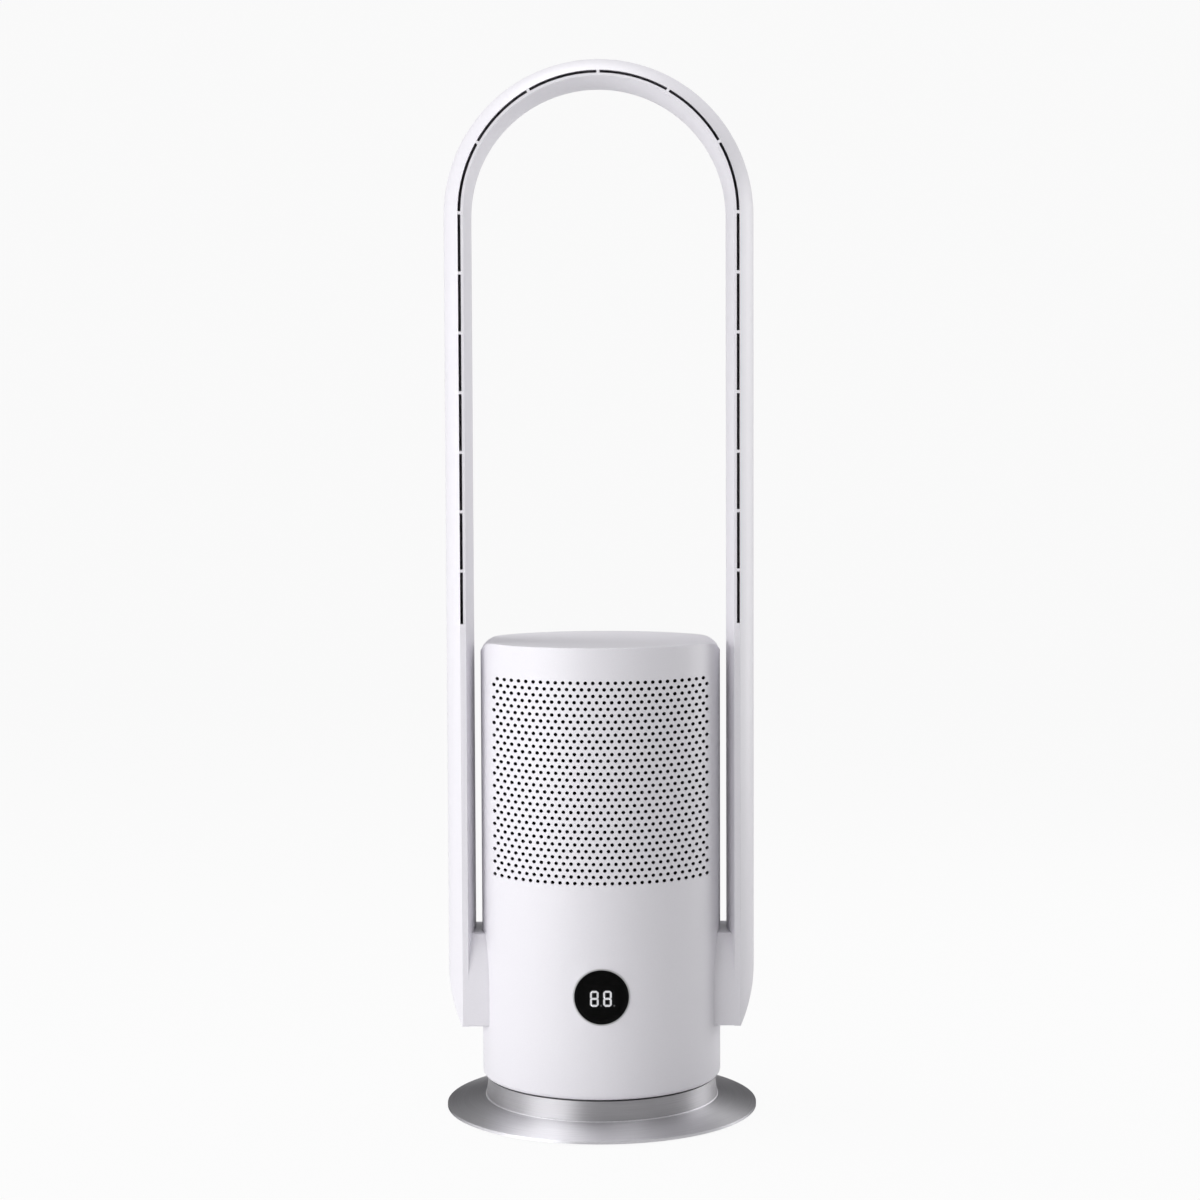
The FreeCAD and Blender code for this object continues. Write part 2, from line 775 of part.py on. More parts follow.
segments = []
bar_length = "(digit_width - segment_width - 2*segment_gap)"
post_length = "(digit_height/2 - segment_width/2 - 2*segment_gap)"
for side in ("-1", "1"):
    middle = f"({side}*digit_pitch/2)"
    for level in ("-1", "0", "1"):
        segments.append(box(
            f"segment_{len(segments)}", bar_length, "segment_wall", "segment_width",
            f"{middle} - {bar_length}/2", f"-{module_face} - segment_wall",
            f"display_height + {level}*(digit_height - segment_width)/2 - segment_width/2"))
    for across in ("-1", "1"):
        for level in ("-1", "1"):
            segments.append(box(
                f"segment_{len(segments)}", "segment_width", "segment_wall", post_length,
                f"{middle} + {across}*(digit_width - segment_width)/2 - segment_width/2",
                f"-{module_face} - segment_wall",
                f"display_height + {level}*(digit_height - segment_width)/4 - {post_length}/2"))
keep("display_digits", group("digits", segments))

# Blower: a drum on four posts with an outlet on each side, and the motor on its floor

outlet_face = f"({housing_radius} + outlet_length)"
posts = []
for index in range(count("leg_post_count")):
    x, y = around(f"({housing_radius} - leg_post_inset)", index, "leg_post_count", "leg_post_turn")
    posts.append(rod(
        f"post_{index}", "leg_post_radius", f"{housing_floor} - {turntable_top}", x, y, turntable_top))
drum = rod("drum", housing_radius, f"{housing_top} - {housing_floor}", z=housing_floor)
outlets = bar("outlets", "0", f"-{outlet_face}", f"2*{outlet_face}")
drum_space = rod(
    "drum_space", f"{housing_radius} - housing_wall", f"{housing_top} - {motor_bottom}", z=motor_bottom)
outlet_space = bar("outlet_space", "(-hoop_wall)", f"-{outlet_face}", f"2*{outlet_face}")
keep("blower_housing", cut("blower", fuse("blower_solid", drum, outlets, *posts), drum_space, outlet_space))

bearing_seat = "(bearing_radius + seat_clearance)"
keep("motor_housing", turned("motor", [
    (bearing_seat, motor_bottom),
    ("motor_radius", motor_bottom),
    ("motor_radius", motor_top),
    (bearing_seat, motor_top),
    (bearing_seat, f"{motor_top} - bearing_width"),
    ("bearing_radius - bearing_shoulder", f"{motor_top} - bearing_width"),
    ("bearing_radius - bearing_shoulder", f"{motor_bottom} + bearing_width"),
    (bearing_seat, f"{motor_bottom} + bearing_width"),
]))
keep("motor_bearings", group("bearings", [
    tube(f"bearing_{index}", "bearing_radius", "motor_shaft_radius + seat_clearance", "bearing_width", level)
    for index, level in enumerate((motor_bottom, f"{motor_top} - bearing_width"))]))

# Impeller: back plate, curved blades and shroud on the motor shaft, held by a nut

impeller_floor = f"({motor_top} + impeller_gap)"
blade_bottom = f"({impeller_floor} + impeller_wall)"
boss_top = f"({blade_bottom} + impeller_boss_rise)"
shroud_top = f"({housing_top} - shroud_gap)"
shroud_bottom = f"({shroud_top} - impeller_wall)"
eye_top = f"({shroud_top} + eye_height)"
impeller_bore = "(motor_shaft_radius + seat_clearance)"
wheel = new_body("wheel")
turn(wheel, outline(wheel, "wheel_section", "XZ_Plane", [
    (impeller_bore, f"{impeller_floor} - impeller_boss_drop"),
    ("impeller_boss_radius", f"{impeller_floor} - impeller_boss_drop"),
    ("impeller_boss_radius", impeller_floor),
    (impeller_radius, impeller_floor),
    (impeller_radius, blade_bottom),
    ("impeller_boss_radius", blade_bottom),
    ("impeller_boss_radius", boss_top),
    (impeller_bore, boss_top),
]))
blade_tip = f"({impeller_radius} - blade_margin)"
blade_root = f"({eye_radius} - blade_lead)"
tip_turn = f"(blade_wall/{blade_tip}*180/pi - blade_sweep)"
root_turn = f"(blade_wall/{blade_root}*180/pi)"
blade = pad(wheel, outline(wheel, "blade_section", "XY_Plane", [
    (blade_root, "0", "blade_curve", -1),
    (f"{blade_tip}*cos(blade_sweep)", f"-{blade_tip}*sin(blade_sweep)"),
    (f"{blade_tip}*cos({tip_turn})", f"{blade_tip}*sin({tip_turn})", "blade_curve", 1),
    (f"{blade_root}*cos{root_turn}", f"{blade_root}*sin{root_turn}"),
], f"{blade_bottom} - blade_sink"), f"{shroud_bottom} - {blade_bottom} + 2*blade_sink")
doc.recompute()
blades = wheel.newObject("PartDesign::PolarPattern", "blades")
blades.Originals = [blade]
blades.Axis = (next(item for item in wheel.Origin.OriginFeatures if item.Role == "Z_Axis"), [""])
blades.Angle = 360
bind(blades, Occurrences="blade_count")
wheel.Tip = blades
turn(wheel, outline(wheel, "shroud_section", "XZ_Plane", [
    (eye_radius, shroud_bottom),
    (impeller_radius, shroud_bottom),
    (impeller_radius, shroud_top),
    (f"{eye_radius} + impeller_wall", shroud_top),
    (f"{eye_radius} + impeller_wall", eye_top),
    (eye_radius, eye_top),
]))
keep("impeller", wheel)
shaft_bottom = f"({motor_bottom} + motor_shaft_gap)"
nut_top = f"({boss_top} + nut_height)"
keep("motor_shaft", rod(
    "spindle", "motor_shaft_radius", f"{nut_top} + shaft_tail - {shaft_bottom}", z=shaft_bottom))
nut_block = doc.addObject("Part::Prism", "nut_block")
nut_block.Polygon = 6
bind(nut_block, Circumradius="nut_width/sqrt(3)", Height="nut_height")
move(nut_block, z=boss_top)
keep("impeller_nut", cut("nut", nut_block, rod("nut_bore", impeller_bore, "nut_height", z=boss_top)))

# Deck between blower and filter, with a bell mouth that reaches into the impeller's eye

mouth_radius = f"({eye_radius} - mouth_gap - deck_wall)"
filter_bore = f"({mouth_radius} + mouth_flare)"
mouth_bottom = f"({eye_top} - mouth_overlap)"
keep("filter_deck", turned("deck", [
    (mouth_radius, mouth_bottom, swell("mouth_flare", f"{deck_top} - {mouth_bottom}"), -1),
    (filter_bore, deck_top),
    (insert_radius, deck_top),
    (insert_radius, f"{deck_top} - deck_wall"),
    (housing_radius, f"{deck_top} - deck_wall"),
    (housing_radius, housing_top),
    (f"{housing_radius} - housing_wall", housing_top),
    (f"{housing_radius} - housing_wall", f"{deck_top} - deck_wall"),
    (filter_bore, f"{deck_top} - deck_wall",
     swell("mouth_flare - deck_wall", f"{deck_top} - deck_wall - {mouth_bottom}"), 1),
    (f"{mouth_radius} + deck_wall", mouth_bottom),
]))

# Filter cartridge: seal, two end caps, pleated paper and a carbon tube, hung under the lid

filter_radius = f"({casing_bore} - filter_gap)"
cap_bottom = f"({deck_top} + seal_wall)"
media_bottom = f"({cap_bottom} + cap_wall)"
lid_underside = "(body_top - body_wall)"
cap_top = f"({lid_underside} - spigot_height)"
media_top = f"({cap_top} - cap_wall)"
media_height = f"{media_top} - {media_bottom}"


def pleat_loop(outer, inner, pleats):
    """Star shaped loop that runs out and in once per pleat."""
    points = []
    for index in range(2 * pleats + 1):
        radius = outer if index % 2 == 0 else inner
        angle = math.pi * (index % (2 * pleats)) / pleats
        points.append(FreeCAD.Vector(radius * math.cos(angle), radius * math.sin(angle), 0))
    return Part.makePolygon(points)


def pleated_shape():
    outer = number(f"{filter_radius} - pleat_margin")
    inner = outer - number("pleat_depth")
    band = number("pleat_band")
    pleats = count("pleat_count")
    loops = [pleat_loop(outer, inner, pleats), pleat_loop(outer - band, inner - band, pleats)]
    return Part.makeFace(loops, "Part::FaceMakerBullseye").extrude(FreeCAD.Vector(0, 0, number(media_height)))


media = shaped("media", pleated_shape())
move(media, z=media_bottom)
keep("filter_media", media)
keep("filter_seal", tube(
    "seal", f"{filter_radius} - seal_margin", f"{filter_bore} + seal_margin", "seal_wall", deck_top))
keep("filter_bottom_cap", tube("bottom_cap", filter_radius, filter_bore, "cap_wall", cap_bottom))
keep("carbon_tube", tube("carbon", f"{filter_bore} + carbon_wall", filter_bore, media_height, media_bottom))
keep("filter_top_cap", rod("top_cap", filter_radius, "cap_wall", z=media_top))

lid_disc = rod("lid_disc", insert_radius, "lid_skirt", z="body_top - lid_skirt")
lid_space = rod("lid_space", f"{insert_radius} - body_wall", "lid_skirt", z="body_top - lid_skirt")
lid_shell = cut(
    "lid_shell", common("lid_solid", lid_disc, crown("lid_crown", "0")),
    common("lid_hollow", lid_space, crown("lid_inner_crown", "body_wall")))
spigot = tube("spigot", "spigot_radius", "spigot_radius - spigot_wall", "spigot_height", cap_top)
keep("top_lid", fuse("lid", lid_shell, spigot))

# Hoop: outer and inner shells with a narrow air slot between their front edges

hoop_inner = "(body_radius + hoop_gap)"
hoop_outer = f"({hoop_inner} + hoop_width)"
slot_line = f"({hoop_inner} + slot_inset)"
slot_outer = f"({slot_line} + slot_width/2)"
slot_inner = f"({slot_line} - slot_width/2)"
lip_end = f"({slot_inner} - lip_width)"
back_inner = f"({hoop_inner} + hoop_back_inset)"
back_outer = f"({back_inner} + hoop_back_width)"
back_seam = f"({back_inner} + hoop_back_width/2)"
front_y = "(-hoop_half_depth)"
back_y = "hoop_half_depth"


def hoop_shell(name, corners):
    """Leg, arch and mirrored leg with one section."""
    body = new_body(name)
    section = outline(body, f"{name}_section", "XY_Plane", corners, "arch_height")
    leg = pad(body, section, f"arch_height - {elbow_top}", True)
    turn(body, section, 180, True)
    doc.recompute()
    other_leg = body.newObject("PartDesign::Mirrored", f"{name}_other_leg")
    other_leg.Originals = [leg]
    middle = next(item for item in body.Origin.OriginFeatures if item.Role == "YZ_Plane")
    other_leg.MirrorPlane = (middle, [""])
    body.Tip = other_leg
    return body


keep("hoop_outer_shell", hoop_shell("outer_hoop", [
    (slot_outer, front_y, swell(f"{hoop_outer} - {slot_outer}", "hoop_half_depth - hoop_belly"), 1),
    (hoop_outer, "-hoop_belly", swell(f"{hoop_outer} - {back_outer}", "hoop_half_depth + hoop_belly"), 1),
    (back_outer, back_y),
    (back_seam, back_y),
    (back_seam, f"{back_y} - hoop_wall"),
    (f"{back_outer} - hoop_wall/2", f"{back_y} - hoop_wall",
     swell(f"{hoop_outer} - {back_outer} - hoop_wall/2", "hoop_half_depth + hoop_belly - hoop_wall"), -1),
    (f"{hoop_outer} - hoop_wall", "-hoop_belly",
     swell(f"{hoop_outer} - hoop_wall - {slot_outer}", "hoop_half_depth - hoop_belly - slot_depth"), -1),
    (slot_outer, f"{front_y} + slot_depth"),
]))
inner_hoop = hoop_shell("inner_hoop", [
    (lip_end, front_y),
    (slot_inner, front_y),
    (slot_inner, f"{front_y} + slot_depth",
     swell(f"{slot_inner} - {hoop_inner} - hoop_wall", "hoop_half_depth - slot_depth"), -1),
    (f"{hoop_inner} + hoop_wall", "0",
     swell("hoop_back_inset - hoop_wall/2", "hoop_half_depth - hoop_wall"), -1),
    (f"{back_inner} + hoop_wall/2", f"{back_y} - hoop_wall"),
    (back_seam, f"{back_y} - hoop_wall"),
    (back_seam, back_y),
    (back_inner, back_y, swell("hoop_back_inset", "hoop_half_depth"), 1),
    (hoop_inner, "0", swell(f"{lip_end} - {hoop_inner}", "hoop_half_depth"), 1),
])

# Bridges across the slot, and the closed stretch below it, moulded on the inner shell

bridges = []
bridge_start = f"({slot_inner} - bridge_sink)"
bridge_length = "(slot_width + bridge_sink - seat_clearance)"
for edge in (bridge_start, f"-{bridge_start} - {bridge_length}"):
    bridges.append(box(
        f"slot_close_{len(bridges)}", bridge_length, "slot_depth", f"slot_bottom - {elbow_top}",
        edge, front_y, elbow_top))
    for index in range(1, count("bridge_count") + 1):
        bridges.append(box(
            f"bridge_{len(bridges)}", bridge_length, "slot_depth", "bridge_width",
            edge, front_y, f"arch_height - {index}*bridge_pitch - bridge_width/2"))
arch_slots = count("arch_slots")
for index in range(arch_slots + 1):
    angle = f"(180*{index}/arch_slots)"
    bridge = box(
        f"arch_bridge_{index}", bridge_length, "slot_depth", "bridge_width",
        f"{bridge_start}*cos{angle} + bridge_width/2*sin{angle}", front_y,
        f"arch_height + {bridge_start}*sin{angle} - bridge_width/2*cos{angle}")
    bridge.Placement.Rotation = FreeCAD.Rotation(FreeCAD.Vector(0, 1, 0), -180 * index / arch_slots)
    bridges.append(bridge)
keep("hoop_inner_shell", fuse("inner_hoop_bridged", inner_hoop, *bridges))

# Elbows: each joins a blower outlet to a leg of the hoop, and its outer wall curves in at the foot

curve_axis = f"({hoop_outer} - elbow_curve)"
curve_start = "(arm_bottom + elbow_curve_height)"


def leg_stub(name, inset, bottom, top):
    """Foot of a leg, with the hoop's section and a curved outer wall."""
    front, back = f"({front_y} + {inset})", f"({back_y} - {inset})"
    inner, outer = f"({hoop_inner} + {inset})", f"({hoop_outer} - {inset})"
    corners = [
        (lip_end, front),
        (slot_outer, front, swell(f"{outer} - {slot_outer}", f"-{front} - hoop_belly"), 1),
        (outer, "-hoop_belly", swell(f"{outer} - {back_outer}", f"{back} + hoop_belly"), 1),
        (back_outer, back),
        (back_inner, back, swell(f"{back_inner} - {inner}", back), 1),
        (inner, "0", swell(f"{lip_end} - {inner}", f"-{front}"), 1),
    ]
    body = new_body(name)
    pad(body, outline(body, f"{name}_section", "XY_Plane", corners, bottom), f"{top} - {bottom}")
    depth = "2*(hoop_half_depth + cut_margin)"
    start_y = f"{front_y} - cut_margin"
    block = box(
        f"{name}_block", "elbow_curve + cut_margin", depth, "elbow_curve_height + cut_margin",
        curve_axis, start_y, "arm_bottom - cut_margin")
    barrel = rod_to_back(f"{name}_barrel", f"elbow_curve - {inset}", depth, curve_axis, start_y, curve_start)
    return cut(f"{name}_curved", body, cut(f"{name}_corner", block, barrel))


arm_start = f"({outlet_face} + gasket_wall)"
arm_length = f"{hoop_inner} + arm_root - {arm_start}"
elbow_solid = fuse(
    "elbow_solid", leg_stub("leg_foot", "0", "arm_bottom", elbow_top),
    bar("arm", "0", arm_start, arm_length))
right_elbow = cut(
    "elbow", elbow_solid, leg_stub("leg_space", "hoop_wall", "(arm_bottom + hoop_wall)", elbow_top),
    bar("arm_space", "(-hoop_wall)", arm_start, arm_length))
keep("right_elbow", right_elbow)
left_elbow = doc.addObject("Part::Mirroring", "other_elbow")
left_elbow.Source = right_elbow
left_elbow.Normal = FreeCAD.Vector(1, 0, 0)
keep("left_elbow", left_elbow)

gasket_frames = []
for name, start in (("right", outlet_face), ("left", f"-{arm_start}")):
    frame = bar(f"{name}_gasket", "0", start, "gasket_wall")
    space = bar(f"{name}_gasket_space", "(-hoop_wall)", start, "gasket_wall")
    gasket_frames.append(cut(f"{name}_gasket_frame", frame, space))
keep("duct_gaskets", group("gaskets", gasket_frames))

# Rebuild, check every object and write one file per sub-part

doc.recompute()
failed = [item.Name for item in doc.Objects if {"Invalid", "Error"} & set(item.State)]
failed += [node for node, item in nodes.items() if item.Shape.isNull() or not item.Shape.isValid()]
if failed:
    raise RuntimeError(f"failed objects: {failed}")
for node, item in nodes.items():
    item.Shape.exportStep(f"parts/{node}.step")
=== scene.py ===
import math

import bmesh
import bpy
from mathutils import Matrix, Vector


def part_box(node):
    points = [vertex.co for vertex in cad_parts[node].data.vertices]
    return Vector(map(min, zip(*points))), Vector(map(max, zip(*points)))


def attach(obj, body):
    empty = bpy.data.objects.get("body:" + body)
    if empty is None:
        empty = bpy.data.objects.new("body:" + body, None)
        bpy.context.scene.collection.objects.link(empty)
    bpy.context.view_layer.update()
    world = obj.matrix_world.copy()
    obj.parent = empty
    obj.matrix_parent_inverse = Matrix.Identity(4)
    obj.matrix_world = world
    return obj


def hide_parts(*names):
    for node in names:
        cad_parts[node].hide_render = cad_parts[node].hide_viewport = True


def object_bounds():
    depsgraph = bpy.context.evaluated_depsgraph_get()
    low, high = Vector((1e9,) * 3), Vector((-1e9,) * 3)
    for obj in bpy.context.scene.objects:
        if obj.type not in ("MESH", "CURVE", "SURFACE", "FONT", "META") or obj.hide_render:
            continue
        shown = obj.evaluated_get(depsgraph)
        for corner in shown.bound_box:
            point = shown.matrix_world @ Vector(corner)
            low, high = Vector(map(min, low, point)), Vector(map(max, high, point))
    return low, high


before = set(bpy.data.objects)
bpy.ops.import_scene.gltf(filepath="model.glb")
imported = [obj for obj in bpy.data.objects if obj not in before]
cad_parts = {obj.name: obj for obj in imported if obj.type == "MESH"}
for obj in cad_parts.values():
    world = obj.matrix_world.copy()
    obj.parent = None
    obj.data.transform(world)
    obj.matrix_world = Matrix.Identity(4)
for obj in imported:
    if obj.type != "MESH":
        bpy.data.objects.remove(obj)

cad_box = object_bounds()

# Underside of the base: rubber feet and pressed steel tray, with an iron ballast disc above them.
# The feet are glued to the tray, and the screws pull the tray up to the ballast.


def moulded(name, dark, light, roughness, grain, bump, metallic=0.0):
    """Finish with a fine grain: colour, roughness and height follow one noise on the piece."""
    material = bpy.data.materials.new(name)
    material.use_nodes = True
    nodes = material.node_tree.nodes
    links = material.node_tree.links
    shader = nodes["Principled BSDF"]
    shader.inputs["Metallic"].default_value = metallic
    place = nodes.new("ShaderNodeTexCoord")
    noise = nodes.new("ShaderNodeTexNoise")
    noise.inputs["Scale"].default_value = 1 / grain
    noise.inputs["Detail"].default_value = 3.0
    tint = nodes.new("ShaderNodeValToRGB")
    tint.color_ramp.elements[0].position = 0.3
    tint.color_ramp.elements[0].color = (*dark, 1)
    tint.color_ramp.elements[1].position = 0.7
    tint.color_ramp.elements[1].color = (*light, 1)
    gloss = nodes.new("ShaderNodeMapRange")
    gloss.inputs["To Min"].default_value = roughness[0]
    gloss.inputs["To Max"].default_value = roughness[1]
    relief = nodes.new("ShaderNodeBump")
    relief.inputs["Strength"].default_value = 0.5
    relief.inputs["Distance"].default_value = bump
    links.new(place.outputs["Object"], noise.inputs["Vector"])
    links.new(noise.outputs["Fac"], tint.inputs["Fac"])
    links.new(noise.outputs["Fac"], gloss.inputs["Value"])
    links.new(noise.outputs["Fac"], relief.inputs["Height"])
    links.new(tint.outputs["Color"], shader.inputs["Base Color"])
    links.new(gloss.outputs["Result"], shader.inputs["Roughness"])
    links.new(relief.outputs["Normal"], shader.inputs["Normal"])
    return material


def dress(material, *names):
    """Give a finish to solids of the frame."""
    for name in names:
        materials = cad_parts[name].data.materials
        materials.clear()
        materials.append(material)


foot_rubber = moulded(
    "foot_rubber", (0.018, 0.018, 0.019), (0.03, 0.03, 0.031), (0.75, 0.95), 0.0006, 0.00008)
zinc_steel = moulded(
    "zinc_steel", (0.42, 0.43, 0.45), (0.56, 0.57, 0.58), (0.28, 0.5), 0.004, 0.00002, metallic=1.0)
cast_iron = moulded(
    "cast_iron", (0.05, 0.05, 0.052), (0.1, 0.1, 0.1), (0.6, 0.85), 0.0012, 0.0002, metallic=0.6)
dress(foot_rubber, "rubber_feet")
dress(zinc_steel, "base_tray", "base_screws")
dress(cast_iron, "ballast_plate")

# Base plate and collar: stainless steel, spun to a shallow cone and an upright ring, brushed while
# turning, so that the fine scratches run round the axis and the light fans out from it.


def brushed(name, dark, light, edge, roughness, anisotropy):
    """Steel brushed round the upright axis; edge is its mirror strength at a flat angle."""
    material = bpy.data.materials.new(name)
    material.use_nodes = True
    nodes = material.node_tree.nodes
    links = material.node_tree.links
    shader = nodes["Principled BSDF"]
    shader.inputs["Metallic"].default_value = 1.0
    shader.inputs["Anisotropic"].default_value = anisotropy
    shader.inputs["Anisotropic Rotation"].default_value = 0.25
    shader.inputs["Specular Tint"].default_value = (edge, edge, edge, 1)
    across_scale = 2600.0
    along_scale = 2.2
    place = nodes.new("ShaderNodeTexCoord")
    parts = nodes.new("ShaderNodeSeparateXYZ")
    flat = nodes.new("ShaderNodeCombineXYZ")
    reach = nodes.new("ShaderNodeVectorMath")
    reach.operation = "LENGTH"
    direction = nodes.new("ShaderNodeVectorMath")
    direction.operation = "NORMALIZE"
    turn = nodes.new("ShaderNodeVectorMath")
    turn.operation = "SCALE"
    turn.inputs["Scale"].default_value = along_scale
    turned = nodes.new("ShaderNodeSeparateXYZ")
    across = nodes.new("ShaderNodeMath")
    across.operation = "ADD"
    stretch = nodes.new("ShaderNodeMath")
    stretch.operation = "MULTIPLY"
    stretch.inputs[1].default_value = across_scale
    scratch_place = nodes.new("ShaderNodeCombineXYZ")
    scratches = nodes.new("ShaderNodeTexNoise")
    scratches.inputs["Scale"].default_value = 1.0
    scratches.inputs["Detail"].default_value = 4.0
    tint = nodes.new("ShaderNodeValToRGB")
    tint.color_ramp.elements[0].position = 0.25
    tint.color_ramp.elements[0].color = (*dark, 1)
    tint.color_ramp.elements[1].position = 0.75
    tint.color_ramp.elements[1].color = (*light, 1)
    gloss = nodes.new("ShaderNodeMapRange")
    gloss.inputs["To Min"].default_value = roughness[0]
    gloss.inputs["To Max"].default_value = roughness[1]
    relief = nodes.new("ShaderNodeBump")
    relief.inputs["Strength"].default_value = 0.25
    relief.inputs["Distance"].default_value = 0.00002
    tangent = nodes.new("ShaderNodeTangent")
    tangent.direction_type = "RADIAL"
    tangent.axis = "Z"
    links.new(place.outputs["Object"], parts.inputs["Vector"])
    links.new(parts.outputs["X"], flat.inputs["X"])
    links.new(parts.outputs["Y"], flat.inputs["Y"])
    links.new(flat.outputs["Vector"], reach.inputs[0])
    links.new(flat.outputs["Vector"], direction.inputs[0])
    links.new(direction.outputs["Vector"], turn.inputs[0])
    links.new(turn.outputs["Vector"], turned.inputs["Vector"])
    links.new(reach.outputs["Value"], across.inputs[0])
    links.new(parts.outputs["Z"], across.inputs[1])
    links.new(across.outputs["Value"], stretch.inputs[0])
    links.new(turned.outputs["X"], scratch_place.inputs["X"])
    links.new(turned.outputs["Y"], scratch_place.inputs["Y"])
    links.new(stretch.outputs["Value"], scratch_place.inputs["Z"])
    links.new(scratch_place.outputs["Vector"], scratches.inputs["Vector"])
    links.new(scratches.outputs["Fac"], tint.inputs["Fac"])
    links.new(scratches.outputs["Fac"], gloss.inputs["Value"])
    links.new(scratches.outputs["Fac"], relief.inputs["Height"])
    links.new(tint.outputs["Color"], shader.inputs["Base Color"])
    links.new(gloss.outputs["Result"], shader.inputs["Roughness"])
    links.new(relief.outputs["Normal"], shader.inputs["Normal"])
    links.new(tangent.outputs["Tangent"], shader.inputs["Tangent"])
    return material


plate_steel = brushed("plate_steel", (0.75, 0.743, 0.772), (0.89, 0.882, 0.912), 0.08, (0.38, 0.48), 0.8)
# The collar's steel is given a much darker colour than the plate's: painted shade that stands in for the
# dark surroundings it mirrors.
collar_steel_painted_shade = brushed(
    "collar_steel_painted_shade", (0.38, 0.374, 0.391), (0.49, 0.483, 0.503), 1.0, (0.42, 0.52), 0.66)
dress(plate_steel, "base_plate")
dress(collar_steel_painted_shade, "base_collar")

# Seam bead: a thin satin steel ring rolled into the corner between collar and plate, which hides
# their joint and catches the light as a fine line.


def piece(name, mesh, materials, sharp_angle=None):
    """Object from a finished mesh: smooth, with an edge where it bends by more than the sharp angle."""
    bmesh.ops.recalc_face_normals(mesh, faces=mesh.faces)
    data = bpy.data.meshes.new(name)
    mesh.to_mesh(data)
    mesh.free()
    for material in materials:
        data.materials.append(material)
    if sharp_angle is not None:
        data.shade_smooth()
        data.set_sharp_from_angle(angle=math.radians(sharp_angle))
    made = bpy.data.objects.new(name, data)
    bpy.context.scene.collection.objects.link(made)
    return made


bead_steel = moulded(
    "bead_steel", (0.62, 0.61, 0.64), (0.72, 0.71, 0.74), (0.4, 0.5), 0.002, 0.000004, metallic=1.0)
bead_round = 0.0008
bead_seat = 0.0002
bead_steps = 6
bead_sides = 180
collar_low, collar_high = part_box("base_collar")
bead_profile = [(collar_high.x - bead_seat, collar_low.z)]
for step in range(bead_steps + 1):
    bend = math.pi / 2 * step / bead_steps
    bead_profile.append((
        collar_high.x + bead_round * math.cos(bend), collar_low.z + bead_round * math.sin(bend)))
bead_profile.append((collar_high.x - bead_seat, collar_low.z + bead_round))
bead = bmesh.new()
bead_rings = []
for k in range(bead_sides):
    turn = 2 * math.pi * k / bead_sides
    bead_rings.append([
        bead.verts.new((radius * math.cos(turn), radius * math.sin(turn), z))
        for radius, z in bead_profile])
for k in range(bead_sides):
    ring, after = bead_rings[k], bead_rings[(k + 1) % bead_sides]
    for j in range(len(bead_profile)):
        beside = (j + 1) % len(bead_profile)
        bead.faces.new((ring[j], after[j], after[beside], ring[beside]))
seam_bead = piece("seam_bead", bead, [bead_steel], sharp_angle=40)
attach(seam_bead, "base")

# Power inlet: black glass filled nylon, moulded in one piece round its contact pin and clipped into
# the back of the collar.

socket_nylon = moulded(
    "socket_nylon", (0.016, 0.016, 0.017), (0.026, 0.026, 0.028), (0.4, 0.55), 0.0008, 0.00004)
dress(socket_nylon, "power_inlet")

# Swivel: turned steel hub and retainer, a hobbed acetal sun gear with its pinion, and an acetal wear
# ring that carries the tower.

turned_steel = moulded(
    "turned_steel", (0.5, 0.5, 0.52), (0.62, 0.62, 0.63), (0.2, 0.36), 0.002, 0.00001, metallic=1.0)
acetal = moulded("acetal", (0.74, 0.73, 0.69), (0.8, 0.79, 0.75), (0.35, 0.5), 0.0015, 0.00003)
dress(turned_steel, "pivot_hub", "pivot_retainer", "retainer_screws", "swivel_shaft")
dress(acetal, "sun_gear", "swivel_pinion", "wear_ring")

# Turntable and electrics: grey moulded floor of the tower, a geared motor screwed to it, and a green
# glass fibre board on standoffs.

floor_plastic = moulded(
    "floor_plastic", (0.2, 0.2, 0.21), (0.26, 0.26, 0.27), (0.45, 0.6), 0.0012, 0.00005)
board_fibre = moulded(
    "board_fibre", (0.012, 0.07, 0.03), (0.022, 0.11, 0.05), (0.3, 0.45), 0.0008, 0.00003)
dress(floor_plastic, "turntable")
dress(zinc_steel, "swivel_motor")
dress(board_fibre, "power_board")

# Blower: black moulded drum with two outlets, a die cast motor on its floor, and a fibre filled
# impeller that a nut holds on the motor's ground shaft.

drum_plastic = moulded(
    "drum_plastic", (0.02, 0.02, 0.021), (0.034, 0.034, 0.036), (0.4, 0.58), 0.0012, 0.00006)
die_casting = moulded(
    "die_casting", (0.4, 0.4, 0.41), (0.52, 0.52, 0.53), (0.4, 0.62), 0.0015, 0.00008, metallic=0.9)
wheel_plastic = moulded(
    "wheel_plastic", (0.05, 0.05, 0.055), (0.075, 0.075, 0.08), (0.38, 0.52), 0.001, 0.00004)
seal_foam = moulded("seal_foam", (0.03, 0.03, 0.03), (0.07, 0.07, 0.07), (0.9, 1.0), 0.0009, 0.0003)
dress(drum_plastic, "blower_housing", "filter_deck")
dress(die_casting, "motor_housing")
dress(turned_steel, "motor_bearings", "motor_shaft", "impeller_nut")
dress(wheel_plastic, "impeller")
dress(seal_foam, "duct_gaskets", "filter_seal")

# Filter cartridge: grey pleated paper round a tube of carbon cloth, glued between two end caps. It
# hangs under the lid and lifts out with it.

filter_paper = moulded(
    "filter_paper", (0.05, 0.05, 0.053), (0.085, 0.085, 0.088), (0.85, 1.0), 0.0007, 0.0002)
carbon_cloth = moulded(
    "carbon_cloth", (0.008, 0.008, 0.008), (0.03, 0.03, 0.03), (0.8, 1.0), 0.0012, 0.0004)
cap_plastic = moulded(
    "cap_plastic", (0.06, 0.06, 0.063), (0.08, 0.08, 0.083), (0.5, 0.65), 0.001, 0.00005)
dress(filter_paper, "filter_media")
dress(carbon_cloth, "carbon_tube")
dress(cap_plastic, "filter_top_cap", "filter_bottom_cap")

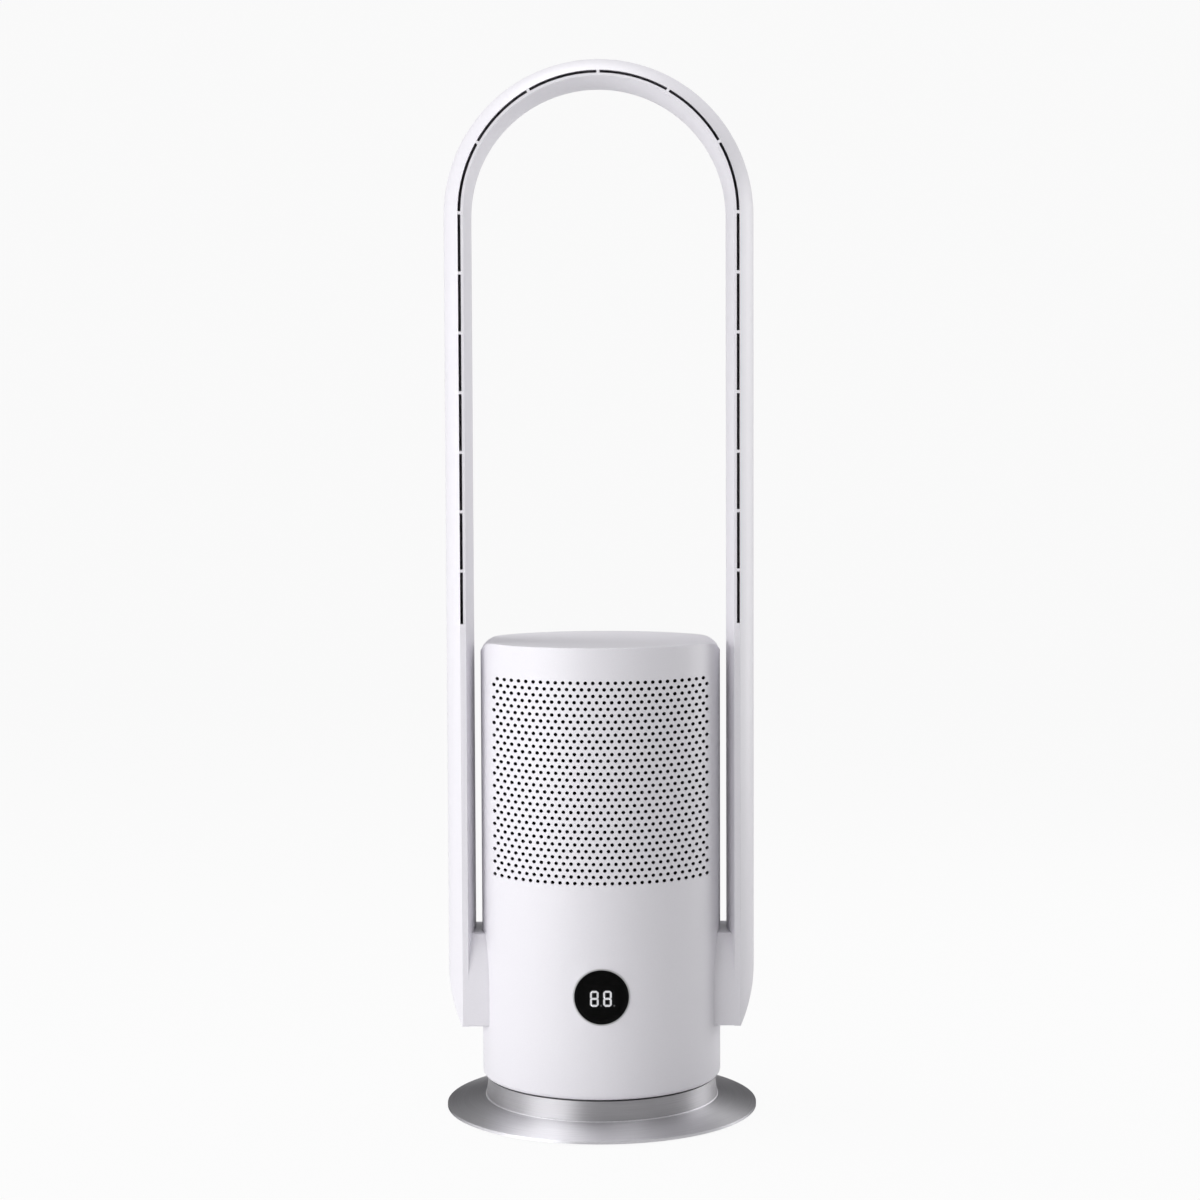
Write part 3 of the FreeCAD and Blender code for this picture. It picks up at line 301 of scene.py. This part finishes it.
# Tower casing: two half shells of white ABS, moulded with hundreds of small round air holes that are
# drawn straight to the front or back. The halves meet beside the legs and turn in at the bottom.

white_plastic = moulded(
    "white_plastic", (0.8, 0.785, 0.83), (0.82, 0.805, 0.85), (0.36, 0.46), 0.0011, 0.000012)
casing_low, casing_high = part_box("front_shell")
casing_radius = casing_high.x
casing_bottom = casing_low.z
casing_top = casing_high.z
casing_wall = 0.0024
casing_edge = 0.005
casing_flange = 0.006
crown_radius = 0.014
crown_overhang = 0.0006
rim_round = 0.0005
window_low, window_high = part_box("duct_gaskets")
window_clearance = 0.0003
window_half = window_high.y + window_clearance
window_bottom = window_low.z - window_clearance
window_top = window_high.z + window_clearance
window_corner = 0.002
window_edge = 0.0025
window_shoulder = 0.010
window_shoulder_height = 0.046
bezel_low, bezel_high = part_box("display_bezel")
display_z = (bezel_low.z + bezel_high.z) / 2
display_clearance = 0.0001
display_hole = (bezel_high.z - bezel_low.z) / 2 + display_clearance
hole_pitch = 0.0066
hole_radius = 0.0017
hole_sides = 14
hole_rows = 32
holes_across = 30
row_pitch = hole_pitch * math.sqrt(3) / 2
grille_bottom = 0.225
display_columns = 10
near_steps = 4
far_steps = 4
corner_steps = 4


def crown_height(x):
    """Height of the casing's top edge: level, then rounded down at the left and right."""
    over = abs(x) - (casing_radius + crown_overhang - crown_radius)
    if over <= 0:
        return casing_top
    return casing_top - crown_radius + math.sqrt(crown_radius**2 - over**2)


def casing_columns():
    """Upright lines of the mesh, from the left joint round to the right one: (kind, side, share)."""
    far = [("far", 1 - step / far_steps) for step in range(far_steps)]
    near = [("near", 1 - step / near_steps) for step in range(near_steps)]
    half_width = holes_across * hole_pitch / 2
    middle = [("grid", 0, (k / holes_across - 1) * half_width) for k in range(2 * holes_across + 1)]
    left = [(kind, -1, share) for kind, share in far + near]
    right = [(kind, 1, share) for kind, share in reversed(far + near)]
    return left + middle + right


def window_depth(z):
    """Half depth of the arm's window at a height: small corners below, and sides that lean in above."""
    narrow = window_half - window_shoulder
    bend_start = window_top - window_shoulder_height
    edge_start = window_top - window_edge
    if z < window_bottom + window_corner:
        rise = window_bottom + window_corner - z
        return window_half - window_corner + math.sqrt(max(window_corner**2 - rise**2, 0))
    if z <= bend_start:
        return window_half
    if z <= edge_start:
        lean = (window_shoulder**2 + (edge_start - bend_start) ** 2) / (2 * window_shoulder)
        return window_half - lean + math.sqrt(lean**2 - (z - bend_start) ** 2)
    return narrow - window_edge + math.sqrt(max(window_edge**2 - (z - edge_start) ** 2, 0))


def casing_rows():
    """Level lines of the mesh, from the bottom up: (height, half depth of the arm's window there)."""
    bends = [math.pi / 2 * step / corner_steps for step in range(corner_steps + 1)]
    heights = [window_bottom + window_corner * (1 - math.cos(bend)) for bend in bends]
    heights += [display_z + k * hole_pitch / 2 for k in range(-display_columns, display_columns + 1)]
    heights += [window_top - window_edge * (1 - math.sin(bend)) for bend in bends]
    rows = [(z, window_depth(z)) for z in heights]
    below, above = rows[0][1], rows[-1][1]
    rows.insert(0, (casing_bottom + casing_edge, below))
    rows += [(grille_bottom + (row - 0.5) * row_pitch, above) for row in range(hole_rows + 1)]
    rows += [(casing_top - crown_radius, above), (None, above)]
    return rows


def casing_point(column, row, radius, face, drop):
    """Point of one skin of the casing."""
    kind, side, share = column
    height, window = row
    grille_edge = holes_across * hole_pitch / 2
    if kind == "grid":
        x = share
        y = math.sqrt(radius**2 - x**2)
    else:
        start = math.sqrt(radius**2 - grille_edge**2)
        y = start + (window - start) * share if kind == "near" else window * (1 - share)
        x = side * math.sqrt(radius**2 - y**2)
    z = crown_height(x) - drop if height is None else height
    return Vector((x, face * y, z))


def half_casing(name, face, with_display):
    """One half of the casing; face is -1 for the front and 1 for the back."""
    columns = casing_columns()
    rows = casing_rows()
    mesh = bmesh.new()
    outside, inside = [
        [
            [mesh.verts.new(casing_point(column, row, radius, face, drop)) for column in columns]
            for row in rows]
        for radius, drop in ((casing_radius, rim_round), (casing_radius - casing_wall, 0))]
    for vertex in inside[0]:
        vertex.co.z = casing_bottom + casing_wall
    first_window = 1
    last_window = first_window + 2 * corner_steps + 2 * display_columns + 2
    first_display = first_window + corner_steps + 1
    first_grille = last_window + 1
    first_grid = far_steps + near_steps
    display_start = first_grid + holes_across - display_columns
    display_end = first_grid + holes_across + display_columns

    def in_window(row, column):
        is_far = column < far_steps or column >= len(columns) - 1 - far_steps
        return is_far and first_window <= row < last_window

    def in_display(row, column):
        in_rows = first_display <= row < first_display + 2 * display_columns
        return with_display and in_rows and display_start <= column < display_end

    def hole(centre_x, centre_z, radius, angles, ring_of):
        """Round hole drawn straight through both skins, with a ring of faces from each skin to it."""
        loops = []
        for skin, skin_radius in ((outside, casing_radius), (inside, casing_radius - casing_wall)):
            loop = []
            for angle in angles:
                x = centre_x + radius * math.cos(angle)
                y = face * math.sqrt(skin_radius**2 - x**2)
                loop.append(mesh.verts.new((x, y, centre_z + radius * math.sin(angle))))
            for corners in ring_of(skin, loop):
                mesh.faces.new(corners)
            loops.append(loop)
        for k in range(len(angles)):
            after = (k + 1) % len(angles)
            mesh.faces.new((loops[0][k], loops[0][after], loops[1][after], loops[1][k]))

    def air_hole(row, column):
        """Small air hole in the middle of a cell two columns wide."""
        angles = [2 * math.pi * k / hole_sides for k in range(hole_sides)]

        def ring_of(skin, loop):
            low, high = skin[row], skin[row + 1]
            ring = [high[column + 2], high[column + 1], high[column]]
            ring += [low[column], low[column + 1], low[column + 2]]
            corner = math.atan2(row_pitch, hole_pitch)
            bearings = [corner, math.pi / 2, math.pi - corner, math.pi + corner, 3 * math.pi / 2, -corner]
            starts = [round(bearing / (2 * math.pi) * hole_sides) % hole_sides for bearing in bearings]
            for k in range(len(ring)):
                after = (k + 1) % len(ring)
                steps = (starts[after] - starts[k]) % hole_sides
                inner = [loop[(starts[k] + step) % hole_sides] for step in range(steps + 1)]
                yield [ring[k], ring[after]] + inner[::-1]

        centre_z = grille_bottom + (row - first_grille) * row_pitch
        hole(columns[column + 1][2], centre_z, hole_radius, angles, ring_of)

    def display_window():
        """Large round hole for the display, in a square block of cells."""
        last = first_display + 2 * display_columns
        path = [(first_display, c) for c in range(display_start, display_end)]
        path += [(r, display_end) for r in range(first_display, last)]
        path += [(last, c) for c in range(display_end, display_start, -1)]
        path += [(r, display_start) for r in range(last, first_display, -1)]
        angles = [math.atan2(rows[r][0] - display_z, columns[c][2]) for r, c in path]

        def ring_of(skin, loop):
            for k in range(len(path)):
                after = (k + 1) % len(path)
                near, far = path[k], path[after]
                yield [skin[near[0]][near[1]], skin[far[0]][far[1]], loop[after], loop[k]]

        hole(0, display_z, display_hole, angles, ring_of)

    for row in range(len(rows) - 1):
        grille_row = row - first_grille
        is_grille = 0 <= grille_row < hole_rows
        shift = grille_row % 2
        for column in range(len(columns) - 1):
            place = column - first_grid
            if in_window(row, column) or in_display(row, column):
                continue
            if is_grille and shift <= place < 2 * holes_across - shift:
                if (place - shift) % 2 == 0:
                    air_hole(row, column)
                continue
            for skin in (outside, inside):
                low, high = skin[row], skin[row + 1]
                mesh.faces.new((low[column], low[column + 1], high[column + 1], high[column]))
    if with_display:
        display_window()

    chains = []
    for column in range(len(columns)):
        foot = outside[0][column].co
        chain = [outside[0][column]]
        profile = []
        for step in range(1, corner_steps + 1):
            bend = math.pi / 2 * step / corner_steps
            inset = casing_edge * (1 - math.cos(bend))
            profile.append((inset, casing_bottom + casing_edge * (1 - math.sin(bend))))
        profile.append((casing_flange, casing_bottom))
        profile.append((casing_flange, casing_bottom + casing_wall))
        for inset, z in profile:
            scale = 1 - inset / casing_radius
            chain.append(mesh.verts.new((foot.x * scale, foot.y * scale, z)))
        chains.append(chain + [inside[0][column]])
    rim_scale = 1 - rim_round / casing_radius
    rims = []
    for column in range(len(columns)):
        edge = outside[-1][column]
        crest = mesh.verts.new((edge.co.x * rim_scale, edge.co.y * rim_scale, edge.co.z + rim_round))
        rims.append([edge, crest, inside[-1][column]])
    for lines in (chains, rims):
        for line, after in zip(lines, lines[1:]):
            for k in range(len(line) - 1):
                mesh.faces.new((line[k], line[k + 1], after[k + 1], after[k]))
        for line in (lines[0], lines[-1]):
            mesh.faces.new(line)

    ends = ((0, far_steps), (len(columns) - 1, len(columns) - 1 - far_steps))
    for joint, jamb in ends:
        for row in range(len(rows) - 1):
            edge = jamb if first_window <= row < last_window else joint
            mesh.faces.new((
                outside[row][edge], outside[row + 1][edge], inside[row + 1][edge], inside[row][edge]))
        for row in (first_window, last_window):
            for column in range(min(joint, jamb), max(joint, jamb)):
                outer, inner = outside[row], inside[row]
                mesh.faces.new((outer[column], outer[column + 1], inner[column + 1], inner[column]))
    return piece(name, mesh, [white_plastic], sharp_angle=32)


front_casing = half_casing("front_casing", -1, True)
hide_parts("front_shell")
rear_casing = half_casing("rear_casing", 1, False)
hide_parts("rear_shell")
for shell in (front_casing, rear_casing):
    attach(shell, "tower")

# Display: a black smoked acrylic lens that follows the casing's curve, in a thin satin grey ring. Two
# seven segment digits on the module behind it shine through; their two points are unlit, but carry a
# faint painted glow.

lens_acrylic = moulded(
    "lens_acrylic", (0.05, 0.05, 0.052), (0.06, 0.06, 0.062), (0.02, 0.035), 0.012, 0.000001)
lens_shader = lens_acrylic.node_tree.nodes["Principled BSDF"]
lens_shader.inputs["Transmission Weight"].default_value = 1.0
lens_shader.inputs["IOR"].default_value = 1.16
ring_paint = moulded(
    "ring_paint", (0.5, 0.5, 0.51), (0.56, 0.56, 0.57), (0.26, 0.36), 0.0008, 0.00001, metallic=0.6)
module_black = moulded(
    "module_black", (0.012, 0.012, 0.012), (0.018, 0.018, 0.018), (0.7, 0.85), 0.0006, 0.00002)
lit_white = moulded("lit_white", (0.85, 0.85, 0.85), (0.9, 0.9, 0.9), (0.4, 0.5), 0.0004, 0.00001)
unlit_grey_painted_glow = moulded("unlit_grey_painted_glow", (0.5, 0.5, 0.5), (0.6, 0.6, 0.6), (0.4, 0.5), 0.0004, 0.00001)
# The unlit points get a weak emission as well, a painted glow; only the digits really shine.
for finish, glow_strength in ((lit_white, 12.0), (unlit_grey_painted_glow, 2.0)):
    shader = finish.node_tree.nodes["Principled BSDF"]
    shader.inputs["Emission Color"].default_value = (1.0, 1.0, 1.0, 1)
    shader.inputs["Emission Strength"].default_value = glow_strength
dress(ring_paint, "display_bezel")
dress(lens_acrylic, "display_lens")
dress(module_black, "display_board")

digits_low, digits_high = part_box("display_digits")
digit_width = 0.0076
digit_height = 0.0142
solid_digit_width = 0.008
digit_pitch = digits_high.x - digits_low.x - solid_digit_width
digit_shift = -0.0006
digit_drop = 0.0023
segment_width = 0.0017
segment_gap = 0.0001
point_radius = 0.0007
point_reach = 0.006
point_sides = 12


def add_plate(mesh, outline, material_index):
    """Thin flat plate between the back and the front of the digits."""
    front = [mesh.verts.new((x, digits_low.y, z)) for x, z in outline]
    back = [mesh.verts.new((x, digits_high.y, z)) for x, z in outline]
    faces = [mesh.faces.new(front), mesh.faces.new(back[::-1])]
    for k in range(len(outline)):
        after = (k + 1) % len(outline)
        faces.append(mesh.faces.new((front[k], back[k], back[after], front[after])))
    for face in faces:
        face.material_index = material_index


def segment(centre, length, upright):
    """Bar with pointed ends, as (across, up) points."""
    half, wide = length / 2 - segment_gap, segment_width / 2
    bar = [(-half, 0), (wide - half, -wide), (half - wide, -wide)]
    bar += [(half, 0), (half - wide, wide), (wide - half, wide)]
    if upright:
        bar = [(-z, x) for x, z in bar]
    return [(centre[0] + x, centre[1] + z) for x, z in bar]


digits_mesh = bmesh.new()
span = digit_width - segment_width
rise = (digit_height - segment_width) / 2
base_z = (digits_low.z + digits_high.z) / 2 - digit_drop
for side in (-1, 1):
    outlines = [segment((0, level * rise), span, False) for level in (-1, 0, 1)]
    for across in (-1, 1):
        outlines += [segment((across * span / 2, level * rise / 2), rise, True) for level in (-1, 1)]
    turns = [2 * math.pi * k / point_sides for k in range(point_sides)]
    outlines.append([
        (point_reach + point_radius * math.cos(turn), -rise + point_radius * math.sin(turn))
        for turn in turns])
    for index, points in enumerate(outlines):
        centre_x = digit_shift + side * digit_pitch / 2
        placed = [(centre_x + x, base_z + z) for x, z in points]
        add_plate(digits_mesh, placed, 1 if index == len(outlines) - 1 else 0)
digit_segments = piece("digit_segments", digits_mesh, [lit_white, unlit_grey_painted_glow])
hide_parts("display_digits")
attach(digit_segments, "tower")

# Lid: white ABS disc let in level with the casing's top edge. Its skirt sits inside the casing, and its
# spigot carries the filter cartridge.

dress(white_plastic, "top_lid")

# Hoop and elbows: white ABS shells, welded along the back, with a narrow air slot left open between
# their front edges. The elbows join the legs to the blower's outlets.

dress(white_plastic, "hoop_outer_shell", "hoop_inner_shell", "left_elbow", "right_elbow")

# Studio: pale paper floor that runs up into a round backdrop, large soft lamps, and the camera where
# the photographer stood. The far paper is mirrored pale, and the near floor as the lamps light it.

floor_level = cad_box[0].z
floor_reach = 4.2
floor_rings = (0.6, 1.8, floor_reach)
sweep_radius = 1.4
sweep_height = 2.2
sweep_steps = 10
sweep_sides = 96
mirrored_from = 2.4
mirrored_full = 4.4
mirrored_share = 0.35
profile = [(radius, floor_level) for radius in floor_rings]
for step in range(1, sweep_steps + 1):
    bend = math.pi / 2 * step / sweep_steps
    profile.append((
        floor_reach + sweep_radius * math.sin(bend), floor_level + sweep_radius * (1 - math.cos(bend))))
profile.append((floor_reach + sweep_radius, floor_level + sweep_height))
sweep = bmesh.new()
middle = sweep.verts.new((0, 0, floor_level))
rings = []
for radius, z in profile:
    turns = [2 * math.pi * k / sweep_sides for k in range(sweep_sides)]
    rings.append([
        sweep.verts.new((radius * math.cos(turn), radius * math.sin(turn), z)) for turn in turns])
for k in range(sweep_sides):
    after = (k + 1) % sweep_sides
    sweep.faces.new((middle, rings[0][k], rings[0][after]))
    for ring, wider in zip(rings, rings[1:]):
        sweep.faces.new((ring[k], wider[k], wider[after], ring[after]))
sweep_mesh = bpy.data.meshes.new("studio_sweep")
sweep.to_mesh(sweep_mesh)
sweep.free()
sweep_mesh.shade_smooth()
studio_sweep = bpy.data.objects.new("studio_sweep", sweep_mesh)
bpy.context.scene.collection.objects.link(studio_sweep)

studio_paper = bpy.data.materials.new("studio_paper")
studio_paper.use_nodes = True
studio_paper.cycles.emission_sampling = "NONE"
nodes = studio_paper.node_tree.nodes
links = studio_paper.node_tree.links
nodes.clear()
output = nodes.new("ShaderNodeOutputMaterial")
matte = nodes.new("ShaderNodeBsdfDiffuse")
matte.inputs["Color"].default_value = (0.04, 0.04, 0.04, 1)
glow = nodes.new("ShaderNodeEmission")
glow.inputs["Color"].default_value = (0.935, 0.935, 0.935, 1)
seen = nodes.new("ShaderNodeAddShader")
bounce = nodes.new("ShaderNodeBsdfDiffuse")
bounce.inputs["Color"].default_value = (0.8, 0.8, 0.8, 1)
paths = nodes.new("ShaderNodeLightPath")
paper_place = nodes.new("ShaderNodeTexCoord")
paper_reach = nodes.new("ShaderNodeVectorMath")
paper_reach.operation = "LENGTH"
far_paper = nodes.new("ShaderNodeMapRange")
far_paper.inputs["From Min"].default_value = mirrored_from
far_paper.inputs["From Max"].default_value = mirrored_full
far_paper.inputs["To Max"].default_value = mirrored_share
mirrored = nodes.new("ShaderNodeMath")
mirrored.operation = "MULTIPLY"
seen_or_mirrored = nodes.new("ShaderNodeMath")
seen_or_mirrored.operation = "MAXIMUM"
through = nodes.new("ShaderNodeMath")
through.operation = "MAXIMUM"
choice = nodes.new("ShaderNodeMixShader")
links.new(paper_place.outputs["Object"], paper_reach.inputs[0])
links.new(paper_reach.outputs["Value"], far_paper.inputs["Value"])
links.new(paths.outputs["Is Glossy Ray"], mirrored.inputs[0])
links.new(far_paper.outputs["Result"], mirrored.inputs[1])
links.new(paths.outputs["Is Camera Ray"], seen_or_mirrored.inputs[0])
links.new(mirrored.outputs["Value"], seen_or_mirrored.inputs[1])
links.new(seen_or_mirrored.outputs["Value"], through.inputs[0])
links.new(paths.outputs["Is Transmission Ray"], through.inputs[1])
links.new(matte.outputs["BSDF"], seen.inputs[0])
links.new(glow.outputs["Emission"], seen.inputs[1])
links.new(through.outputs["Value"], choice.inputs["Fac"])
links.new(bounce.outputs["BSDF"], choice.inputs[1])
links.new(seen.outputs["Shader"], choice.inputs[2])
links.new(choice.outputs["Shader"], output.inputs["Surface"])
sweep_mesh.materials.append(studio_paper)

world = bpy.data.worlds.new("studio_air")
world.use_nodes = True
sky = world.node_tree.nodes["Background"]
sky.inputs["Color"].default_value = (1, 1, 1, 1)
sky.inputs["Strength"].default_value = 0.28
bpy.context.scene.world = world


def softbox(name, place, target, width, height, power):
    """Large rectangular lamp turned to a point."""
    lamp = bpy.data.lights.new(name, "AREA")
    lamp.shape = "RECTANGLE"
    lamp.size = width
    lamp.size_y = height
    lamp.energy = power
    holder = bpy.data.objects.new(name, lamp)
    holder.location = place
    holder.rotation_euler = (Vector(target) - Vector(place)).to_track_quat("-Z", "Y").to_euler()
    bpy.context.scene.collection.objects.link(holder)


softbox("key_lamp", (-1.95, -1.55, 0.6), (0, 0, 0.45), 2.2, 0.95, 35.5)
softbox("side_lamp", (-2.3, 0.1, 0.6), (0, 0, 0.45), 1.6, 0.95, 6)
softbox("front_lamp", (0.45, -0.65, 1.12), (0.06, 0, 0.9), 0.6, 0.36, 1.7)
softbox("top_lamp", (-1.6, 0.3, 4.0), (0, 0, 0.5), 1.8, 1.4, 37)
softbox("crown_lamp", (0, 0.2, 2.2), (0, 0, 0.5), 1.0, 0.6, 8.6)
softbox("edge_lamp", (1.58, 0.75, 0.65), (0.13, 0, 0.45), 1.1, 1.2, 11.5)

view = bpy.data.cameras.new("photo_camera")
view.lens = 74.185
view.sensor_width = 36.0
view.clip_end = 50.0
camera = bpy.data.objects.new("photo_camera", view)
camera.location = (0, -2.269, 0.600)
camera_tilt = Matrix.Rotation(math.radians(90 - 3.302), 3, "X")
camera_roll = Matrix.Rotation(math.radians(-0.226), 3, "Z")
camera.rotation_euler = (camera_tilt @ camera_roll).to_euler()
bpy.context.scene.collection.objects.link(camera)
bpy.context.scene.camera = camera
bpy.context.scene.view_settings.view_transform = "Standard"
